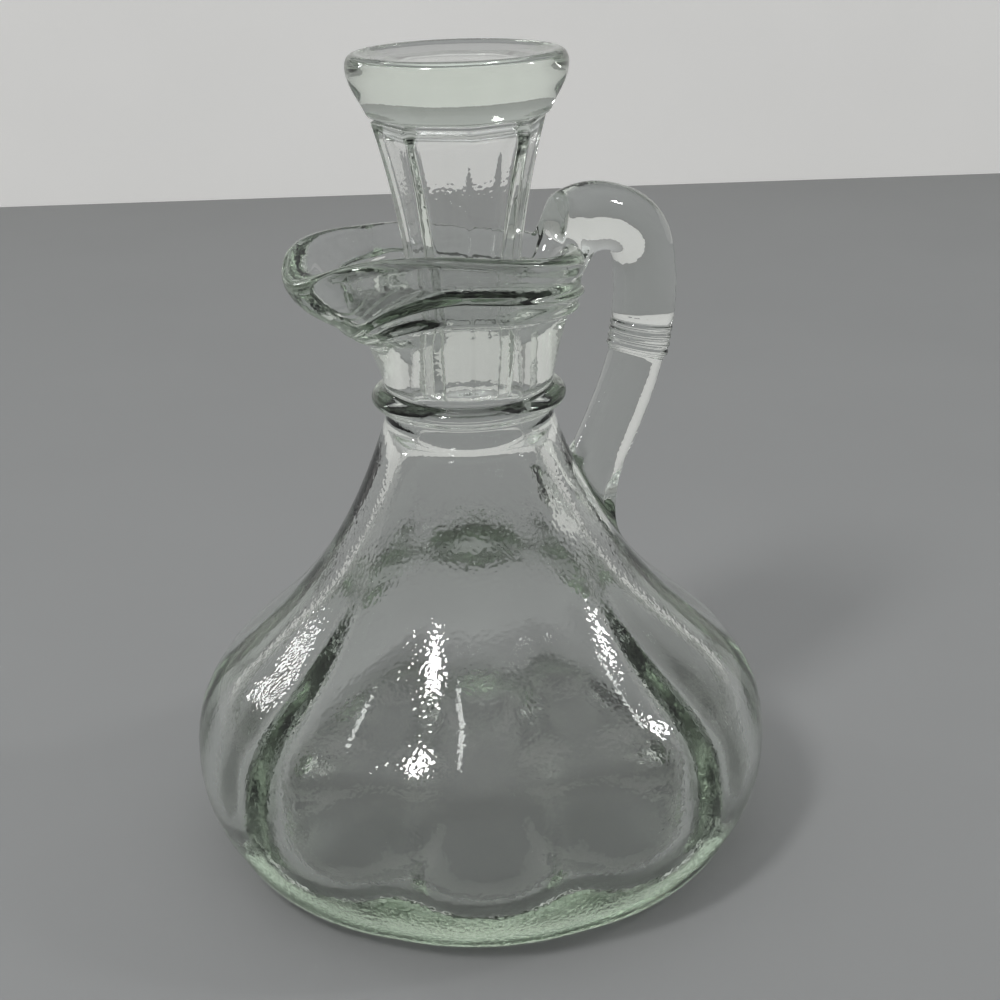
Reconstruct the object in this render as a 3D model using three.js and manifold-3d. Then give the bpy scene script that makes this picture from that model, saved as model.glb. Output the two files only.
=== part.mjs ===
// Pressed glass cruet: a lobed bottle with a pouring lip and a rod handle, and a loose glass stopper.
// Millimetres, +Z up. The bottle stands on z = 0 with its axis on Z, the handle towards +X and the lip
// towards -X, so that the plane y = 0 halves the whole object.

import * as THREE from 'three';
import { mergeVertices } from 'three/addons/utils/BufferGeometryUtils.js';
import Module from 'manifold-3d';

// Body
const FOOT_RADIUS = 43.4;
const BODY_RADIUS = 51.9;
const WIDEST_HEIGHT = 18;
const HEEL_RUN = 3.6;
const HEEL_LIFT = 1.2;
const HEEL_FULL_HEIGHT = 8.5;
const BELLY_RISE = 24.7;
const WAIST_RADIUS = 30.5;
const WAIST_HEIGHT = 31.6;
const SHOULDER_HEIGHT = 79.5;
const SHOULDER_RADIUS = 14.3;
const LOBE_COUNT = 9;
const LOBE_DEPTH_SHARE = 0.022;
const LOBE_FADE_START = 64;
const WALL = 7;
const SHOULDER_WALL = 4.6;
const FLOOR = 6;
const FLOOR_FLAT_RADIUS = 30;
const FLOOR_EDGE_RUN = 12;
const FLOOR_EDGE_RISE = 4;

// Neck
const COLLAR_RADIUS = 16.8;
const COLLAR_HEIGHT = 82.7;
const COLLAR_THICKNESS = 3.4;
const NECK_RADIUS = 14.4;
const NECK_SWELL_RADIUS = 16.2;
const NECK_SWELL_HEIGHT = 93.5;
const NECK_FLARE_RADIUS = 17.7;
const NECK_FLARE_HEIGHT = 98.5;
const BORE_RADIUS = 9.1;
const BORE_TOP = 97;
const CUP_STEP = 3.5;
const CUP_SWELL = 1;
const RIDGE_HEIGHT = 99.2;
const RIDGE_PROUD = 0.6;
const RIDGE_HALF_WIDTH = 1.7;

// Rim and pouring lip
const RIM_RADIUS = 20.2;
const RIM_HEIGHT = 109.2;
const RIM_WALL = 3.6;
const RIM_ROUND = 2.2;
const RIM_BULGE = 0.3;
const MOUTH_SPREAD = 2;
const MOUTH_CLEARANCE = 10;
const RIM_SLOPE = 2.6;
const LIP_START = 92.5;
const LIP_FULL = 105;
const LIP_REACH = 11.9;
const LIP_HALF_ANGLE = THREE.MathUtils.degToRad(62);
const LIP_DROP = 4.2;
const LIP_DROP_ANGLE = THREE.MathUtils.degToRad(17);
const LIP_ROOT = 86;
const LIP_ROOT_SHARE = 0.1;

// Handle
const HANDLE_REACH = 37.3;
const HANDLE_TOP = 109.5;
const HANDLE_RADIUS = 5.7;
const HANDLE_LOWER_RADIUS = 5.1;
const HANDLE_ROOT_RADIUS = 6.6;
const HANDLE_FLARE_SHARE = 1 / 3;
const HANDLE_BAND_HEIGHT = 86.6;
const BAND_RINGS = 3;
const BAND_PITCH = 1.7;
const RING_DEPTH = 0.35;

// Stopper
const TOTAL_HEIGHT = 140;
const HEAD_RADIUS = 18.1;
const HEAD_BOTTOM = 130.2;
const HEAD_NECK_RADIUS = 15;
const HEAD_STEP = 0.5;
const HEAD_CURVE = 2.6;
const HEAD_EDGE = 2.3;
const HEAD_EDGE_RUN = 1.9;
const DISH_DEPTH = 0.8;
const DISH_EDGE = 4.5;
const STEM_TOP_RADIUS = 14.5;
const STEM_RIM_RADIUS = 9.6;
const PEG_END = 84;
const PEG_END_RADIUS = 8;
const PEG_SWELL = 0.9;
const PEG_ROUND = 1.5;
const PANEL_COUNT = 8;
const STEM_WALL = 3;
const STEM_HOLLOW_TOP = 128.3;
const STEM_HOLLOW_ROUND = 3;

// Sides and steps of the faceted surfaces
const OUTER_SIDES = 72;
const INNER_SIDES = 48;
const HANDLE_SIDES = 14;
const STOPPER_SIDES = 48;
const SAME_POINT = 0.0001;

const wasm = await Module();
wasm.setup();

const at = (radius, height) => new THREE.Vector2(radius, height);
const clamp01 = (value) => THREE.MathUtils.clamp(value, 0, 1);

// Joins point runs end to end and leaves out a point that repeats the one before it.
function chain(...runs) {
  const points = [];
  for (const point of runs.flat()) {
    const last = points.at(-1);
    if (!last || last.distanceTo(point) > SAME_POINT) {
      points.push(point);
    }
  }
  return points;
}

// Points of a curve with the given tangent handles.
function sweep(start, startHandle, endHandle, end, steps) {
  return new THREE.CubicBezierCurve(start, startHandle, endHandle, end).getPoints(steps);
}

// Turns a profile of (radius, height) points about Z.
function turned(points, sides) {
  const geometry = new THREE.LatheGeometry(points, sides);
  geometry.rotateX(Math.PI / 2);
  geometry.deleteAttribute('normal');
  geometry.deleteAttribute('uv');
  return mergeVertices(geometry, SAME_POINT);
}

// Moves each vertex by a rule that takes its radius, angle and height and gives a new radius and height.
function reshaped(geometry, rule) {
  const place = geometry.getAttribute('position');
  for (let i = 0; i < place.count; i += 1) {
    const angle = Math.atan2(place.getY(i), place.getX(i));
    const moved = rule(Math.hypot(place.getX(i), place.getY(i)), angle, place.getZ(i));
    place.setXYZ(i, moved.radius * Math.cos(angle), moved.radius * Math.sin(angle), moved.height);
  }
  return geometry;
}

// Bends a straight rod on the Z axis along a path in the plane y = 0.
function bent(geometry, path) {
  const place = geometry.getAttribute('position');
  const length = path.getLength();
  for (let i = 0; i < place.count; i += 1) {
    const share = clamp01(place.getZ(i) / length);
    const centre = path.getPointAt(share);
    const along = path.getTangentAt(share);
    const x = centre.x + along.z * place.getX(i);
    const z = centre.z - along.x * place.getX(i);
    place.setXYZ(i, x, place.getY(i), z);
  }
  return geometry;
}

// Closed geometry to a solid that can be joined and cut.
function solid(geometry) {
  const index = geometry.getIndex().array;
  const corners = [];
  for (let i = 0; i < index.length; i += 3) {
    const face = new Set(index.subarray(i, i + 3));
    if (face.size === 3) {
      corners.push(...face);
    }
  }
  const mesh = new wasm.Mesh({
    numProp: 3,
    vertProperties: new Float32Array(geometry.getAttribute('position').array),
    triVerts: Uint32Array.from(corners),
  });
  return new wasm.Manifold(mesh);
}

// A solid back to a named mesh.
function glassMesh(name, body, color) {
  const mesh = body.getMesh();
  const geometry = new THREE.BufferGeometry();
  geometry.setAttribute('position', new THREE.BufferAttribute(mesh.vertProperties, 3));
  geometry.setIndex(new THREE.BufferAttribute(mesh.triVerts, 1));
  geometry.computeVertexNormals();
  const glass = new THREE.MeshStandardMaterial({ color, roughness: 0.06, metalness: 0 });
  const piece = new THREE.Mesh(geometry, glass);
  piece.name = name;
  return piece;
}

// How far a lobe has fallen from its crest: 0 on the crest, 1 in the valley.
function lobeFall(angle) {
  const turn = (angle * LOBE_COUNT) / (2 * Math.PI);
  return (2 * (turn - Math.round(turn))) ** 2;
}

// Lobes stand full on the body and fade out below the collar.
function lobeDepth(radius, height) {
  const full = THREE.MathUtils.smoothstep(SHOULDER_HEIGHT - height, 0, SHOULDER_HEIGHT - LOBE_FADE_START);
  return radius * LOBE_DEPTH_SHARE * full;
}

// Draws the top of the neck out into the lip, drops the lip and slopes the rim down to the handle.
function lipped(radius, angle, height) {
  const fromLip = Math.PI - Math.abs(angle);
  const root = LIP_ROOT_SHARE * THREE.MathUtils.smoothstep(height, LIP_ROOT, LIP_START);
  const up = root + (1 - LIP_ROOT_SHARE) * THREE.MathUtils.smoothstep(height, LIP_START, LIP_FULL);
  const out = Math.min(1, radius / RIM_RADIUS);
  const spread = Math.min(1, fromLip / LIP_HALF_ANGLE);
  const reach = LIP_REACH * 0.5 * (1 + Math.cos(Math.PI * spread));
  const drop = LIP_DROP * Math.exp(-((fromLip / LIP_DROP_ANGLE) ** 2));
  const rise = RIM_SLOPE * Math.cos(fromLip) - drop;
  return { radius: radius + reach * up * out, height: height + rise * up * out };
}

function outerRule(radius, angle, height) {
  const ridge = RIDGE_PROUD * Math.exp(-(((height - RIDGE_HEIGHT) / RIDGE_HALF_WIDTH) ** 2));
  const lobed = radius - lobeDepth(radius, height) * lobeFall(angle);
  return lipped(radius > NECK_RADIUS ? lobed + ridge : lobed, angle, height);
}

const shoulder = new THREE.CubicBezierCurve(
  at(BODY_RADIUS, WIDEST_HEIGHT),
  at(BODY_RADIUS, WIDEST_HEIGHT + BELLY_RISE),
  at(WAIST_RADIUS, WAIST_HEIGHT),
  at(SHOULDER_RADIUS, SHOULDER_HEIGHT),
);

// The shoulder curve moved inwards by the wall, which thins towards the neck.
function innerShoulder(steps) {
  const points = [];
  for (let i = 0; i <= steps; i += 1) {
    const share = i / steps;
    const along = shoulder.getTangent(share);
    const inward = at(-along.y, along.x).multiplyScalar(THREE.MathUtils.lerp(WALL, SHOULDER_WALL, share));
    points.push(shoulder.getPoint(share).add(inward));
  }
  return points;
}

function outerBody() {
  const heel = sweep(
    at(FOOT_RADIUS, 0),
    at(FOOT_RADIUS + HEEL_RUN, HEEL_LIFT),
    at(BODY_RADIUS, HEEL_FULL_HEIGHT),
    at(BODY_RADIUS, WIDEST_HEIGHT),
    5,
  );
  const collar = new THREE.EllipseCurve(
    NECK_RADIUS,
    COLLAR_HEIGHT,
    COLLAR_RADIUS - NECK_RADIUS,
    COLLAR_THICKNESS / 2,
    -Math.PI / 2,
    Math.PI / 2,
  );
  const neck = sweep(
    at(NECK_RADIUS, COLLAR_HEIGHT + COLLAR_THICKNESS / 2),
    at(NECK_SWELL_RADIUS, NECK_SWELL_HEIGHT),
    at(NECK_FLARE_RADIUS, NECK_FLARE_HEIGHT),
    at(RIM_RADIUS, RIM_HEIGHT - RIM_ROUND),
    11,
  );
  const rim = new THREE.QuadraticBezierCurve(
    at(RIM_RADIUS, RIM_HEIGHT - RIM_ROUND),
    at(RIM_RADIUS + RIM_BULGE, RIM_HEIGHT),
    at(RIM_RADIUS - RIM_ROUND, RIM_HEIGHT),
  );
  const points = chain(
    at(0, 0),
    heel,
    shoulder.getPoints(12),
    collar.getPoints(6),
    neck,
    rim.getPoints(3),
    at(0, RIM_HEIGHT),
  );
  return solid(reshaped(turned(points, OUTER_SIDES), outerRule));
}

// The hollow: floor, wall, bore and the cup above it, open at the top.
function hollow() {
  const insideRadius = BODY_RADIUS - WALL;
  const cupRadius = RIM_RADIUS - RIM_WALL;
  const aboveAll = RIM_HEIGHT + MOUTH_CLEARANCE;
  const floorEdge = sweep(
    at(FLOOR_FLAT_RADIUS, FLOOR),
    at(FLOOR_FLAT_RADIUS + FLOOR_EDGE_RUN, FLOOR),
    at(insideRadius, FLOOR + FLOOR_EDGE_RISE),
    at(insideRadius, WIDEST_HEIGHT),
    5,
  );
  const cup = sweep(
    at(BORE_RADIUS, BORE_TOP),
    at(BORE_RADIUS, BORE_TOP + CUP_STEP),
    at(cupRadius - CUP_SWELL, BORE_TOP + CUP_STEP),
    at(cupRadius, RIM_HEIGHT - RIM_ROUND),
    7,
  );
  const mouth = new THREE.QuadraticBezierCurve(
    at(cupRadius, RIM_HEIGHT - RIM_ROUND),
    at(cupRadius, RIM_HEIGHT),
    at(cupRadius + MOUTH_SPREAD, RIM_HEIGHT + 1),
  );
  const points = chain(
    at(0, FLOOR),
    floorEdge,
    innerShoulder(11),
    cup,
    mouth.getPoints(3),
    at(cupRadius + MOUTH_SPREAD, aboveAll),
    at(0, aboveAll),
  );
  return solid(reshaped(turned(points, INNER_SIDES), lipped));
}

// Centre line of the handle, from inside the rim round to inside the shoulder.
const handlePath = new THREE.CatmullRomCurve3(
  [
    [RIM_RADIUS - 7.7, HANDLE_TOP - 8.9],
    [RIM_RADIUS + 1.2, HANDLE_TOP - 0.9],
    [HANDLE_REACH - 9, HANDLE_TOP],
    [HANDLE_REACH - 2.2, HANDLE_TOP - 3.4],
    [HANDLE_REACH, 97.5],
    [HANDLE_REACH - 1.1, HANDLE_BAND_HEIGHT],
    [HANDLE_REACH - 4.6, 76.5],
    [HANDLE_REACH - 13.2, 61],
    [HANDLE_REACH - 17, 55],
  ].map(([x, z]) => new THREE.Vector3(x, 0, z)),
);

// Share of the handle's length at which it passes the ring band.
function bandShare() {
  const steps = 200;
  let share = 1;
  while (handlePath.getPointAt(share).z < HANDLE_BAND_HEIGHT) {
    share -= 1 / steps;
  }
  return share;
}

function handle() {
  const length = handlePath.getLength();
  const band = bandShare() * length;
  const bandHalf = (BAND_RINGS * BAND_PITCH) / 2;
  const points = [at(0, 0), at(HANDLE_ROOT_RADIUS, 0)];
  const upperSteps = 13;
  for (let i = 1; i < upperSteps; i += 1) {
    const share = i / upperSteps;
    const flare = (HANDLE_ROOT_RADIUS - HANDLE_RADIUS) * Math.max(0, 1 - share / HANDLE_FLARE_SHARE) ** 2;
    points.push(at(HANDLE_RADIUS + flare, share * (band - bandHalf)));
  }
  for (let ring = 0; ring < BAND_RINGS; ring += 1) {
    const start = band - bandHalf + ring * BAND_PITCH;
    points.push(at(HANDLE_RADIUS - RING_DEPTH, start));
    points.push(at(HANDLE_RADIUS, start + BAND_PITCH * 0.3));
    points.push(at(HANDLE_RADIUS, start + BAND_PITCH * 0.7));
  }
  const lowerSteps = 9;
  for (let i = 0; i <= lowerSteps; i += 1) {
    points.push(at(HANDLE_LOWER_RADIUS, THREE.MathUtils.lerp(band + bandHalf, length, i / lowerSteps)));
  }
  points.push(at(0, length));
  return solid(bent(turned(points, HANDLE_SIDES), handlePath));
}

// The panels run from the end of the peg up to the round head.
function panelRule(radius, angle, height) {
  const half = Math.PI / PANEL_COUNT;
  const turn = angle / (2 * half);
  const fromFlat = (turn - Math.round(turn)) * 2 * half;
  const flat = Math.cos(half) / Math.cos(fromFlat);
  return { radius: height < HEAD_BOTTOM ? radius * flat : radius, height };
}

// The inside of the stem, from the middle of its closed top down the wall.
function stemHollow(stem) {
  const wall = stem
    .map((point) => at(point.x - STEM_WALL, point.y))
    .filter((point) => point.y < STEM_HOLLOW_TOP - STEM_HOLLOW_ROUND)
    .reverse();
  const corner = new THREE.QuadraticBezierCurve(
    at(wall[0].x - STEM_HOLLOW_ROUND, STEM_HOLLOW_TOP),
    at(wall[0].x, STEM_HOLLOW_TOP),
    wall[0],
  );
  return chain(at(0, STEM_HOLLOW_TOP), corner.getPoints(3), wall);
}

function stopper() {
  const peg = sweep(
    at(PEG_END_RADIUS - PEG_ROUND, PEG_END),
    at(PEG_END_RADIUS, PEG_END),
    at(PEG_END_RADIUS, PEG_END),
    at(PEG_END_RADIUS, PEG_END + PEG_ROUND),
    3,
  );
  const stem = sweep(
    at(PEG_END_RADIUS, PEG_END + PEG_ROUND),
    at(PEG_END_RADIUS + PEG_SWELL, BORE_TOP),
    at(STEM_RIM_RADIUS, RIM_HEIGHT + 3),
    at(STEM_TOP_RADIUS, HEAD_BOTTOM - HEAD_STEP),
    12,
  );
  const head = sweep(
    at(HEAD_NECK_RADIUS, HEAD_BOTTOM),
    at(HEAD_NECK_RADIUS + 1, HEAD_BOTTOM + HEAD_CURVE),
    at(HEAD_RADIUS, TOTAL_HEIGHT - HEAD_EDGE - HEAD_CURVE),
    at(HEAD_RADIUS, TOTAL_HEIGHT - HEAD_EDGE),
    5,
  );
  const edge = new THREE.QuadraticBezierCurve(
    at(HEAD_RADIUS, TOTAL_HEIGHT - HEAD_EDGE),
    at(HEAD_RADIUS, TOTAL_HEIGHT),
    at(HEAD_RADIUS - HEAD_EDGE_RUN, TOTAL_HEIGHT),
  );
  const dishCentre = TOTAL_HEIGHT - DISH_DEPTH;
  const points = chain(
    stemHollow(stem),
    at(PEG_END_RADIUS - STEM_WALL, PEG_END),
    peg,
    stem,
    head,
    edge.getPoints(3),
    at(HEAD_RADIUS - DISH_EDGE, dishCentre + DISH_DEPTH / 4),
    at(0, dishCentre),
  );
  return solid(reshaped(turned(points, STOPPER_SIDES), panelRule));
}

const cruet = new THREE.Group();
cruet.add(glassMesh('bottle', outerBody().add(handle()).subtract(hollow()), '#d9e2dd'));
cruet.add(glassMesh('stopper', stopper(), '#dbe3da'));

export default cruet;
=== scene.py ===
import math

import bmesh
import bpy
from bpy.props import FloatProperty, FloatVectorProperty, IntProperty, PointerProperty
from mathutils import Matrix, Vector
from mathutils.geometry import interpolate_bezier


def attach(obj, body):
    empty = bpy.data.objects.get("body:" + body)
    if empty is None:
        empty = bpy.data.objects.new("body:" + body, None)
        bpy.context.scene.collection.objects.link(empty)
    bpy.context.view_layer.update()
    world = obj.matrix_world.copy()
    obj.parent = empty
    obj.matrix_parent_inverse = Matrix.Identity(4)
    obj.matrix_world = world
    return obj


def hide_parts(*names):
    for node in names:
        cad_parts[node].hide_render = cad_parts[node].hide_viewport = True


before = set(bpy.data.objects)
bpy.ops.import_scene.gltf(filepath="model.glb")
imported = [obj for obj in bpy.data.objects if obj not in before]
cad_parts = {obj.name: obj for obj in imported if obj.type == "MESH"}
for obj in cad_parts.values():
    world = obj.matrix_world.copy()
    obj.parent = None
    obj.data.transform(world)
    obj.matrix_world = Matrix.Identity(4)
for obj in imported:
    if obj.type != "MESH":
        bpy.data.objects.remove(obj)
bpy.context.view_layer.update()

bl_info = {
    "name": "Glass Cruet",
    "version": (1, 0, 0),
    "blender": (4, 5, 0),
    "location": "3D View > Sidebar > Cruet",
    "description": "Builds a pressed glass cruet with a loose stopper on its studio floor",
    "category": "Mesh",
}

MM = 0.001
UP = Vector((0.0, 0.0, 1.0))
SAME_POINT = 0.001 * MM
SUBDIVISIONS = 1
FLAT_RINGS = (0.0, 0.5, 0.93)


# Property kinds

def length(name, description, millimetres):
    """A size in metres, stated in millimetres."""
    return FloatProperty(
        name=name,
        description=description,
        default=millimetres * MM,
        precision=5,
        subtype="DISTANCE",
        unit="LENGTH",
    )


def spot(name, description, millimetres):
    """A place in the plane of the handle, as its distance from the axis and its height."""
    return FloatVectorProperty(
        name=name,
        description=description,
        default=[value * MM for value in millimetres],
        size=2,
        precision=5,
        subtype="XYZ_LENGTH",
        unit="LENGTH",
    )


def angle(name, description, degrees):
    """An angle, stated in degrees."""
    return FloatProperty(
        name=name,
        description=description,
        default=math.radians(degrees),
        subtype="ANGLE",
        unit="ROTATION",
    )


def share(name, description, default):
    """A plain number from 0 to 1."""
    return FloatProperty(
        name=name,
        description=description,
        default=default,
        min=0.0,
        max=1.0,
        subtype="FACTOR",
    )


def number(name, description, default):
    """A plain number."""
    return FloatProperty(name=name, description=description, default=default)


def count(name, description, default):
    """A whole number."""
    return IntProperty(name=name, description=description, default=default, min=1)


def colour(name, description, default):
    """A linear RGB colour."""
    return FloatVectorProperty(
        name=name,
        description=description,
        default=default,
        size=3,
        min=0.0,
        max=1.0,
        subtype="COLOR",
    )


# Sizes and colours that a user would change

class CruetBody(bpy.types.PropertyGroup):
    """Sizes of the lobed body."""

    foot_radius: length("Foot Radius", "Radius of the flat underside", 43.4)
    radius: length("Radius", "Radius at the widest height", 51.9)
    widest: length("Widest Height", "Height of the widest ring", 18.0)
    heel_run: length("Heel Run", "How far the heel runs out before it rises", 3.6)
    heel_lift: length("Heel Lift", "Lift of the heel at the end of its run", 1.2)
    heel_full: length("Heel Full Height", "Height that pulls the heel to full width", 8.5)
    belly_rise: length("Belly Rise", "How far the belly pulls straight up", 24.7)
    waist_radius: length("Waist Radius", "Radius that pulls the shoulder in", 30.5)
    waist: length("Waist Height", "Height that pulls the shoulder in", 31.6)
    shoulder_radius: length("Shoulder Radius", "Radius under the collar", 14.3)
    shoulder: length("Shoulder Height", "Height where the collar begins", 79.5)
    lobes: count("Lobes", "Number of lobes round the body", 9)
    lobe_depth: share("Lobe Depth", "Depth of a valley as a share of its radius", 0.010)
    inner_lobes: number("Inner Lobes", "Depth of the bays inside against that of the lobes", 6.5)
    ridge_width: share("Ridge Width", "Half width of a ridge between bays, per lobe", 0.23)
    lobe_fade: length("Lobe Fade", "Height where the lobes begin to fade", 64.0)
    wall: length("Wall", "Thickness of the wall round the body", 7.0)
    shoulder_wall: length("Shoulder Wall", "Thickness of the wall at the top of the shoulder", 4.6)
    floor: length("Floor", "Thickness of the floor", 6.0)
    floor_flat: length("Floor Flat Radius", "Radius of the flat part of the floor", 30.0)
    floor_run: length("Floor Run", "How far the floor runs out before it turns up", 12.0)
    floor_rise: length("Floor Rise", "How far above the floor the wall starts to turn in", 4.0)


class CruetNeck(bpy.types.PropertyGroup):
    """Sizes of the collar, the neck and its bore."""

    radius: length("Radius", "Radius just above the collar", 14.4)
    collar_radius: length("Collar Radius", "Radius of the collar bead", 16.8)
    collar: length("Collar Height", "Height of the middle of the collar", 82.7)
    collar_thickness: length("Collar Thickness", "Thickness of the collar bead", 3.4)
    swell_radius: length("Swell Radius", "Radius that pulls the lower neck out", 16.2)
    swell: length("Swell Height", "Height that pulls the lower neck out", 93.5)
    flare_radius: length("Flare Radius", "Radius that pulls the bowl out", 17.7)
    flare: length("Flare Height", "Height that pulls the bowl out", 98.5)
    bore_radius: length("Bore Radius", "Radius of the bore", 9.1)
    bore_top: length("Bore Top", "Height where the bore opens into the cup", 94.0)
    throat: length("Throat Height", "Height of the lower end of the bore", 76.0)
    throat_round: length("Throat Round", "Rounding of the lower end of the bore", 1.3)
    cup_radius: length("Cup Radius", "Radius that pulls the top of the cup in", 14.2)
    cup: length("Cup Height", "Height that pulls the top of the cup in", 103.2)
    cup_throat: length("Cup Throat", "Height that pulls the cup down into the bore", 99.5)
    band_low: length("Band Low Edge", "Height of the step under the band", 98.7)
    band_high: length("Band High Edge", "Height of the step over the band", 102.4)
    band_low_dip: length("Low Edge Dip", "How far the low edge dips under the lip", 3.7)
    band_high_dip: length("High Edge Dip", "How far the high edge dips under the lip", 5.6)
    band_dip_angle: angle("Band Dip Angle", "Half width of the dip under the lip", 32.0)
    band_proud: length("Band Proud", "How far the band stands out of the neck", 0.75)
    band_rest: length("Band Rest", "How far the bowl above the band stands out", 0.25)
    band_edge: length("Band Edge", "Half width of the bead on each edge of the band", 0.7)
    band_bead: length("Band Bead", "How far the bead on each edge of the band stands out", 0.8)


class CruetRim(bpy.types.PropertyGroup):
    """Sizes of the rim and the pouring lip."""

    radius: length("Radius", "Outer radius of the rim", 20.2)
    height: length("Height", "Height of the rim", 109.2)
    wall: length("Wall", "Thickness of the rim", 3.6)
    edge: length("Edge", "Rounding of the rim", 2.2)
    slope: length("Slope", "Rise of the rim towards the lip, and its fall to the handle", 2.6)
    lip_root: length("Lip Root", "Height where the lip first shows", 86.0)
    lip_root_share: share("Lip Root Share", "Share of the lip reached at its start", 0.1)
    lip_start: length("Lip Start", "Height where the lip leaves the neck", 92.5)
    lip_full: length("Lip Full", "Height where the lip is at full reach", 105.0)
    lip_reach: length("Lip Reach", "How far the lip stands out of the rim", 11.9)
    lip_half: angle("Lip Half Angle", "Half width of the lip", 62.0)
    lip_drop: length("Lip Drop", "How far the tip of the lip drops", 4.2)
    lip_drop_half: angle("Lip Drop Angle", "Half width of the dropped tip", 17.0)


class CruetHandle(bpy.types.PropertyGroup):
    """Sizes of the bent rod handle and the places that its centre line goes through."""

    start: spot("Start", "Where the centre line leaves the rim", (12.5, 100.6))
    rise: spot("Rise", "Over the outer edge of the rim", (21.4, 108.6))
    crown: spot("Crown", "Highest point of the bend", (28.3, 109.5))
    corner: spot("Corner", "Outer corner of the bend", (35.1, 106.1))
    outermost: spot("Outermost", "Point furthest from the axis", (37.3, 97.5))
    grip: spot("Grip", "Middle of the ring band", (36.2, 86.6))
    lower: spot("Lower", "Below the ring band", (32.7, 76.5))
    landing: spot("Landing", "Just over the shoulder", (24.1, 61.0))
    end: spot("End", "Inside the wall of the shoulder", (20.3, 55.0))
    radius: length("Radius", "Radius of the rod above the band", 5.7)
    lower_radius: length("Lower Radius", "Radius of the rod below the band", 5.1)
    root_radius: length("Root Radius", "Radius of the rod where it leaves the rim", 6.3)
    root_run: length("Root Run", "Length of rod that the root takes up", 12.5)
    root_half: angle("Root Half Angle", "Half width of the root on the rim", 17.5)
    foot_low: length("Foot Low Edge", "Lowest height of the foot on the shoulder", 52.0)
    foot_high: length("Foot High Edge", "Highest height of the foot on the shoulder", 66.5)
    foot_top: length("Foot Top", "Height where the rod begins to spread into the foot", 65.5)
    rings: count("Rings", "Number of rings in the band", 4)
    ring_pitch: length("Ring Pitch", "Distance between rings", 1.4)
    ring_depth: length("Ring Depth", "Depth of the grooves between rings", 0.38)


class CruetStopper(bpy.types.PropertyGroup):
    """Sizes of the loose stopper."""

    top: length("Top", "Height of the top of the head", 140.0)
    head_radius: length("Head Radius", "Radius of the head", 18.1)
    head_low: length("Head Low Edge", "Height of the underside of the head", 130.2)
    head_neck: length("Head Neck Radius", "Radius of the head's underside", 15.0)
    head_curve: length("Head Curve", "How far the head's side pulls straight", 2.6)
    head_edge: length("Head Edge", "Rounding of the head's top edge", 2.3)
    head_edge_run: length("Head Edge Run", "Width of the head's rounded edge", 1.9)
    dish: length("Dish", "Depth of the dish in the top", 0.8)
    dish_edge: length("Dish Edge", "Distance of the dish from the side", 4.5)
    step: length("Step", "Height of the groove under the head", 1.1)
    groove: length("Groove", "Depth of the groove under the head", 0.7)
    stem_radius: length("Stem Radius", "Radius at the top of the panels", 14.5)
    stem_waist: length("Stem Waist Radius", "Radius that pulls the stem in", 9.6)
    stem_waist_height: length("Stem Waist Height", "Height that pulls the stem in", 112.2)
    peg_end: length("Peg End", "Height of the end of the peg", 84.0)
    peg_radius: length("Peg Radius", "Radius of the end of the peg", 8.0)
    peg_swell: length("Peg Swell", "How far the peg widens up the bore", 0.9)
    peg_swell_height: length("Peg Swell Height", "Height that pulls the peg out", 97.0)
    peg_round: length("Peg Round", "Rounding of the end of the peg", 1.5)
    panels: count("Panels", "Number of flat panels on the stem", 8)
    stem_wall: length("Stem Wall", "Thickness of the wall round the hollow stem", 3.0)
    hollow_top: length("Hollow Top", "Height of the closed end of the hollow", 129.3)
    hollow_round: length("Hollow Round", "Rounding of the closed end of the hollow", 1.8)


class CruetGlass(bpy.types.PropertyGroup):
    """Finish of the glass."""

    ior: number("IOR", "Refractive index of soda-lime glass", 1.52)
    tint: colour("Tint", "Colour that thick glass takes on", (0.81, 0.94, 0.78))
    density: number("Density", "Strength of the tint per metre", 14.0)
    roughness: share("Roughness", "Roughness of the fire-polished surface", 0.012)
    peel_scale: number("Peel Scale", "Ripples per metre of the fine orange peel", 1400.0)
    peel_height: length("Peel Height", "Height of the fine orange peel", 0.042)
    wave_scale: number("Wave Scale", "Waves per metre of the slow unevenness", 95.0)
    wave_height: length("Wave Height", "Height of the slow unevenness", 0.12)


class CruetStage(bpy.types.PropertyGroup):
    """Floor, backdrop, light and camera."""

    floor_colour: colour("Floor Colour", "Colour of the floor", (0.335, 0.34, 0.34))
    backdrop_colour: colour("Backdrop Colour", "Colour of the backdrop", (0.85, 0.845, 0.83))
    backdrop_glow: share("Backdrop Glow", "Light of its own that the backdrop gives", 0.27)
    room_colour: colour("Room Colour", "Light of the room at the horizon", (0.25, 0.25, 0.245))
    ceiling_colour: colour("Ceiling Colour", "Light of the ceiling", (0.75, 0.76, 0.77))
    shade: share("Shade", "How dark the room is behind the camera", 0.95)
    floor_size: length("Floor Size", "Length of the square floor", 3000.0)
    far_edge: length("Far Edge", "Distance of the backdrop from the axis", 612.0)
    backdrop_height: length("Backdrop Height", "Height of the backdrop", 300.0)
    lens: number("Lens", "Focal length in millimetres on a 36 mm sensor", 60.23)
    camera_distance: length("Camera Distance", "Distance of the camera from the axis", 275.18)
    camera_height: length("Camera Height", "Height of the camera", 170.01)
    camera_azimuth: angle("Camera Azimuth", "Angle of the camera round the axis", -30.0)
    camera_yaw: angle("Camera Yaw", "Turn of the camera away from the axis", -0.998)
    camera_pitch: angle("Camera Pitch", "How far the camera looks down", 21.344)
    camera_roll: angle("Camera Roll", "Roll of the camera", -1.75)


class CruetSettings(bpy.types.PropertyGroup):
    """All settings of the cruet."""

    body: PointerProperty(type=CruetBody)
    neck: PointerProperty(type=CruetNeck)
    rim: PointerProperty(type=CruetRim)
    handle: PointerProperty(type=CruetHandle)
    stopper: PointerProperty(type=CruetStopper)
    glass: PointerProperty(type=CruetGlass)
    stage: PointerProperty(type=CruetStage)


# Shader maths

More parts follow.
